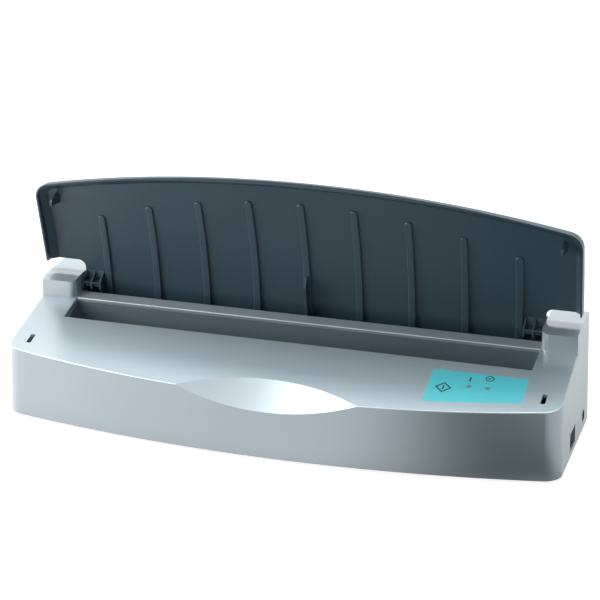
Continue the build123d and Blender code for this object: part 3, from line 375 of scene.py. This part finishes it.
# %% [markdown]
# ## A finish from a recipe
# Plastics, rubber and metals differ in numbers more than in kind. One helper lays down the
# nodes: a base colour that the mottle moves a little lighter and darker, flecks, an edge tone,
# a roughness that follows the mottle, and a bump from the grain. A separate tree for each
# finish would say the same thing a score of times. Plain numbers go straight on the shader's
# own sockets, and an effect that a finish does without gets no nodes.

# %% Colour helpers
def srgb(red, green, blue):
    """A colour from 0-255 screen values to Blender's linear values."""
    def linear(value):
        value /= 255
        return value / 12.92 if value <= 0.04045 else ((value + 0.055) / 1.055) ** 2.4

    return (linear(red), linear(green), linear(blue), 1)


def shade(colour, factor):
    """A colour made lighter or darker, up to white."""
    return tuple(min(1.0, part * factor) for part in colour[:3]) + (1,)


def mix_colour(tree, factor, a, b):
    """A colour Mix node fed by sockets or plain colours; returns its output."""
    node = tree.nodes.new("ShaderNodeMix")
    node.data_type = "RGBA"
    for index, value in ((0, factor), (6, a), (7, b)):  # its factor and its two colours
        feed(tree, node.inputs[index], value)
    return node.outputs[2]


print("Screen grey 128 is", round(srgb(128, 128, 128)[0], 3), "in linear light")

# %% Finish helper
MOTTLE_CONTRAST = 1.6
GRAIN_DETAIL = 3.0
WEAR_RADIUS = 0.0006  # metres
WEAR_BREAKUP = 60.0  # turns per metre
FLECK_LIGHTER = 1.35
BUMP_STRENGTH = 0.5
COAT_ROUGHNESS = 0.12


def group_node(tree, group, **values):
    """A node group placed in a material with its own values; returns its outputs."""
    node = tree.nodes.new("ShaderNodeGroup")
    node.node_tree = group
    for label, value in values.items():
        node.inputs[label].default_value = value
    return node.outputs


def finish(
    name,
    colour,
    roughness,
    metallic=0.0,
    tone=0.05,
    tone_scale=14.0,
    fleck=0.0,
    grain_scale=900.0,
    grain_depth=0.05,
    edge_tone=1.25,
    edge_share=0.35,
    rough_spread=0.06,
    coat=0.0,
    specular=0.5,
):
    """A material for one finish. The grain's depth is in millimetres, scales are per metre."""
    material = bpy.data.materials.new(name)
    material.use_nodes = True
    tree = material.node_tree
    shader = tree.nodes["Principled BSDF"].inputs
    slow = group_node(tree, mottle, Scale=tone_scale, Contrast=MOTTLE_CONTRAST)["Mask"]
    fine = group_node(tree, grain, Scale=grain_scale, Detail=GRAIN_DETAIL)
    base = mix_colour(tree, slow, shade(colour, 1 - tone), shade(colour, 1 + tone))
    if fleck:
        sparkle = math_node(tree, "MULTIPLY", fine["Fleck"], fleck)
        base = mix_colour(tree, sparkle, base, shade(colour, FLECK_LIGHTER))
    if edge_share:
        worn = group_node(tree, edges, Radius=WEAR_RADIUS, Breakup=WEAR_BREAKUP)["Mask"]
        rubbed = math_node(tree, "MULTIPLY", worn, edge_share)
        base = mix_colour(tree, rubbed, base, shade(colour, edge_tone))
    feed(tree, shader["Base Color"], base)
    if rough_spread:
        uneven = math_node(tree, "MULTIPLY", slow, rough_spread)
        roughness = math_node(tree, "ADD", uneven, roughness - rough_spread / 2)
    feed(tree, shader["Roughness"], roughness)
    bump = tree.nodes.new("ShaderNodeBump")
    bump.inputs["Strength"].default_value = BUMP_STRENGTH
    bump.inputs["Distance"].default_value = grain_depth * MM
    feed(tree, bump.inputs["Height"], fine["Height"])
    feed(tree, shader["Normal"], bump.outputs[0])
    shader["Metallic"].default_value = metallic
    shader["Specular IOR Level"].default_value = specular
    if coat:
        shader["Coat Weight"].default_value = coat
        shader["Coat Roughness"].default_value = COAT_ROUGHNESS
    return material


def dress(material, *nodes):
    """Put a material on every slot of the named CAD nodes."""
    for node in nodes:
        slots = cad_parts[node].data.materials
        slots.clear()
        slots.append(material)
    print(material.name, "on", ", ".join(nodes))


# %% [markdown]
# ## Silver body
# The housing is moulded in a silver-grey plastic with fine metal flake under a satin skin. It
# could be a plain grey with a coat, but flake mirrors in the plastic's own colour, as a metal
# does, so Metallic stands near the middle. The flake also lifts the colour in tiny cells, and
# the roughness spreads the panels into broad soft gradients. It is even all over, because
# patches of gloss on so smooth a face look like dirt.

# %% Silver plastic
silver_plastic = finish(
    "silver_plastic",
    srgb(188, 196, 201),
    roughness=0.28,
    metallic=0.45,
    tone=0.02,
    fleck=0.12,
    grain_scale=1400.0,
    grain_depth=0.03,
    edge_share=0.0,
    rough_spread=0.0,
)
dress(silver_plastic, "top_housing")

# %% [markdown]
# ## Dark lid
# The lid is a separate moulding in slate grey, a little rougher than the body. One colour
# would look like flat paint on so large a face. So a fine grain and a slow mottle break it up,
# and a lighter tone along the ribs and the rim stands for edges that hands have rubbed.

# %% Slate plastic
lid_plastic = finish(
    "lid_plastic",
    srgb(60, 81, 92),
    roughness=0.38,
    tone=0.05,
    tone_scale=9.0,
    grain_scale=1100.0,
    grain_depth=0.03,
    edge_tone=1.8,
    edge_share=0.5,
)
dress(lid_plastic, "lid")

# %% [markdown]
# ## Slot
# The liner inside the slot is a mid grey, darker than the silver body: painted shade for the
# inside of the slot. The heated floor is plain aluminium.
# The scratches that spines leave could be drawn one by one. At this size an uneven gloss over
# a fine grain says the same, so the metal's roughness follows a small mottle.

# %% Liner and platen
# The liner's darker grey is painted shade for the inside of the slot.
liner_plastic = finish(
    "liner_plastic", srgb(112, 126, 133), roughness=0.5, tone=0.04, grain_depth=0.05
)
platen_aluminium = finish(
    "platen_aluminium",
    srgb(205, 207, 210),
    roughness=0.34,
    metallic=1.0,
    tone=0.06,
    tone_scale=60.0,
    grain_scale=1600.0,
    rough_spread=0.16,
)
dress(liner_plastic, "slot_liner")
dress(platen_aluminium, "heating_platen")

# %% [markdown]
# ## Base, feet and switch
# The bottom plate is a darker grey moulding, the feet and the cord gland are rubber, and the
# rocker switch is a dull dark grey. None of them has a clear coat, so the same recipe serves,
# with a rougher skin and a stronger mottle on the rubber.

# %% Outer small parts
base_plastic = finish("base_plastic", srgb(88, 94, 98), roughness=0.55, tone=0.06)
foot_rubber = finish(
    "foot_rubber", srgb(28, 29, 31), roughness=0.75, tone=0.15, tone_scale=90.0, grain_depth=0.08
)
switch_plastic = finish(
    "switch_plastic", srgb(44, 58, 64), roughness=0.5, tone=0.08, tone_scale=120.0, specular=0.25
)
dress(base_plastic, "base_plate")
dress(foot_rubber, "rubber_feet", "cord_gland")
dress(switch_plastic, "power_switch", "power_rocker")

# %% [markdown]
# ## Works inside the housing
# Little of this is on show while the machine is whole, but each part has its own finish for
# the day somebody takes the housing off. The recipes stand in one table, a few lines for each,
# because these parts are small and differ only in colour, gloss and metal.

# %% Metals, resins and leads
works = [
    (
        "zinc_steel", (178, 180, 184),
        dict(roughness=0.32, metallic=1.0, tone=0.1, tone_scale=200.0),
        ["housing_screws", "board_screws", "key_board_screws"],
    ),
    (
        "bright_steel", (196, 198, 202),
        dict(roughness=0.2, metallic=1.0, tone=0.05),
        ["heater_springs"],
    ),
    (
        "dark_steel", (58, 62, 66),
        dict(roughness=0.4, metallic=0.8, tone=0.08),
        ["hinge_pin_left", "hinge_pin_right"],
    ),
    (
        "tinned_copper", (206, 205, 198),
        dict(roughness=0.3, metallic=1.0, tone=0.08),
        ["switch_terminals", "thermal_fuse"],
    ),
    (
        "heater_aluminium", (200, 201, 203),
        dict(roughness=0.4, metallic=1.0, tone=0.08),
        ["ptc_heaters"],
    ),
    (
        "heat_resin", (52, 50, 48),
        dict(roughness=0.6, tone=0.1, tone_scale=80.0),
        ["heater_carrier", "thermostat"],
    ),
    (
        "black_resin", (34, 34, 36),
        dict(roughness=0.5, tone=0.12, tone_scale=160.0),
        ["transformer", "relay", "control_chip", "buzzer", "start_switch", "start_button"],
    ),
    (
        "capacitor_resin", (214, 178, 62),
        dict(roughness=0.4, tone=0.08, coat=0.2),
        ["film_capacitor"],
    ),
    (
        "connector_plastic", (226, 225, 216),
        dict(roughness=0.45, tone=0.05),
        ["terminal_block", "heater_connector", "ribbon_connector"],
    ),
    (
        "lead_sheath", (30, 30, 32),
        dict(roughness=0.5, tone=0.1, tone_scale=90.0),
        ["mains_leads"],
    ),
    (
        "lead_sleeve", (214, 210, 198),
        dict(roughness=0.8, tone=0.12, grain_scale=1800.0, grain_depth=0.2),
        ["heater_leads"],
    ),
    (
        "ribbon_plastic", (168, 172, 176),
        dict(roughness=0.45, tone=0.05),
        ["signal_ribbon"],
    ),
]
for name, colour, recipe, nodes in works:
    dress(finish(name, srgb(*colour), **recipe), *nodes)

# %% [markdown]
# ## Circuit boards
# A circuit board is green solder mask with copper tracks that show through it a little
# lighter. Tracks could be cut as thin solids, but nobody sees them here, so a brick pattern's
# joints stand for them, laid over the board's own colour.

# %% Solder mask and tracks
BRICKS = 90.0  # turns per metre
TRACK_WIDTH = 0.03  # of a brick

circuit_board = finish("circuit_board", srgb(26, 104, 58), roughness=0.35, tone=0.1, coat=0.3)
tree = circuit_board.node_tree
mask_colour = tree.nodes["Principled BSDF"].inputs["Base Color"]
tracks = pattern(tree, "ShaderNodeTexBrick", BRICKS)
tracks.inputs["Mortar Size"].default_value = TRACK_WIDTH
under = mask_colour.links[0].from_socket
over = mix_colour(tree, tracks.outputs["Fac"], under, srgb(62, 150, 88))
feed(tree, mask_colour, over)
dress(circuit_board, "control_board", "key_board")

# %% [markdown]
# ## Control label
# The label is a turquoise printed film with a soft sheen, let into the top. Its start key is a
# diamond of the same film that gives under a finger, and two smoke-grey lamps show through.
# The lamps could be glass, but lenses this small look the same as a grey plastic under a clear
# coat, which renders with less noise.

# %% Film and lamps
label_film = finish(
    "label_film",
    srgb(86, 198, 206),
    roughness=0.42,
    tone=0.02,
    grain_scale=2500.0,
    grain_depth=0.01,
    edge_tone=1.1,
)
lamp_lens = finish("lamp_lens", srgb(140, 143, 150), roughness=0.2, tone=0.04, coat=0.4)
dress(label_film, "control_label", "start_key")
dress(lamp_lens, "power_lamp", "ready_lamp")

# %% [markdown]
# ## Printed marks
# Print is a thin skin of ink. It could be painted by the film's material, but a mesh stays
# sharp at any distance and rides down with the key. Each mark is a flat outline laid on the
# label's plane and then given a thickness: a diamond with a bar on the key, a bar over the
# power lamp, and a ring with a tick over the ready lamp. One matrix carries a drawing from the
# flat sheet on to the sloped top.

# %% The label's plane
SLOPE = math.radians(13.94)
REAR_Y = 65.3  # millimetres, as are the next two
SIDE_DEPTH = 108.9  # from the rear face to the top's front corners
CORNER_HEIGHT = 51.3  # of the top at those corners


def on_label(x, to_rear):
    """The matrix of a place on the sloped top: its x, and how far it is from the rear face."""
    y = REAR_Y - to_rear
    z = CORNER_HEIGHT + math.tan(SLOPE) * (SIDE_DEPTH - to_rear)
    return Matrix.Translation(Vector((x, y, z)) * MM) @ Matrix.Rotation(SLOPE, 4, "X")


key_place = on_label(116.4, 95.6)
power_mark = on_label(132.4, 83.8)
ready_mark = on_label(145.3, 80.9)
print("The key's print lies", round(key_place.translation.z / MM, 1), "mm up")

# %% Ink
INK_LIFT, INK_DEPTH = 0.01 * MM, 0.04 * MM

print_ink = finish("print_ink", srgb(22, 34, 40), roughness=0.6, tone=0.08, grain_depth=0.01)


def ink_piece(name, marks, body):
    """Flat drawings, each with its place, laid on the top and given the thickness of ink."""
    sheet = bmesh.new()
    for draw, place in marks:
        drawing = bmesh.new()
        draw(drawing)
        bmesh.ops.translate(drawing, verts=drawing.verts, vec=(0, 0, INK_LIFT))
        faces = bmesh.ops.extrude_face_region(drawing, geom=drawing.faces)
        risen = [item for item in faces["geom"] if isinstance(item, bmesh.types.BMVert)]
        bmesh.ops.translate(drawing, verts=risen, vec=(0, 0, INK_DEPTH))
        bmesh.ops.recalc_face_normals(drawing, faces=drawing.faces)
        bmesh.ops.transform(drawing, matrix=place, verts=drawing.verts)
        scratch = bpy.data.meshes.new("scratch")
        drawing.to_mesh(scratch)
        sheet.from_mesh(scratch)
        bpy.data.meshes.remove(scratch)
        drawing.free()
    piece = piece_from(sheet, name, print_ink)
    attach(piece, body)
    print(name, "has", len(piece.data.polygons), "faces")


# %% Outlines on a flat sheet, with sizes in millimetres
RING_SIDES = 40


def outline_of(sides, radius, line):
    """A closed outline of a line's width, from a circle with so many sides."""
    def draw(drawing):
        bmesh.ops.create_circle(drawing, cap_ends=True, segments=sides, radius=radius * MM)
        bmesh.ops.inset_region(
            drawing, faces=drawing.faces[:], thickness=line * MM,
            use_boundary=True, use_even_offset=True,
        )
        middle = min(drawing.faces, key=lambda face: face.calc_center_median().length)
        bmesh.ops.delete(drawing, geom=[middle], context="FACES")
    return draw


def diamond_of(side, line):
    """A square that stands on a corner, as a circle with four sides does."""
    return outline_of(4, side / math.sqrt(2), line)


# %% Bars
BAR_ROUNDING = 0.45  # of its width, at each corner
ROUNDING_STEPS = 3


def bar_of(length, width, turn=0, shift=(0, 0)):
    """A rounded bar: a square stretched to its length, turned in degrees and shifted."""
    def draw(drawing):
        bmesh.ops.create_grid(drawing, x_segments=1, y_segments=1, size=0.5 * MM)
        bmesh.ops.scale(drawing, vec=(width, length, 1), verts=drawing.verts)
        bmesh.ops.bevel(
            drawing, geom=drawing.verts[:], offset=BAR_ROUNDING * width * MM,
            segments=ROUNDING_STEPS, profile=0.5, affect="VERTICES", material=-1,
        )
        turned = Matrix.Rotation(math.radians(turn), 3, "Z")
        bmesh.ops.rotate(drawing, verts=drawing.verts, matrix=turned)
        bmesh.ops.translate(drawing, verts=drawing.verts, vec=Vector((*shift, 0)) * MM)
    return draw


# %% Marks on the key and the label
BAR_WIDTH, TICK_WIDTH = 1.1, 0.65

diamond = diamond_of(side=7.9, line=0.95)
key_bar = bar_of(4.4, BAR_WIDTH)
power_bar = bar_of(4.8, BAR_WIDTH)
ring = outline_of(RING_SIDES, radius=2.95, line=0.7)
tick_short = bar_of(1.5, TICK_WIDTH, turn=45, shift=(-0.95, -0.15))
tick_long = bar_of(2.9, TICK_WIDTH, turn=-40, shift=(0.45, 0.3))

key_marks = [(diamond, key_place), (key_bar, key_place)]
label_marks = [(power_bar, power_mark)]
label_marks += [(draw, ready_mark) for draw in (ring, tick_short, tick_long)]
ink_piece("key_print", key_marks, "start_key")
ink_piece("label_print", label_marks, "root")
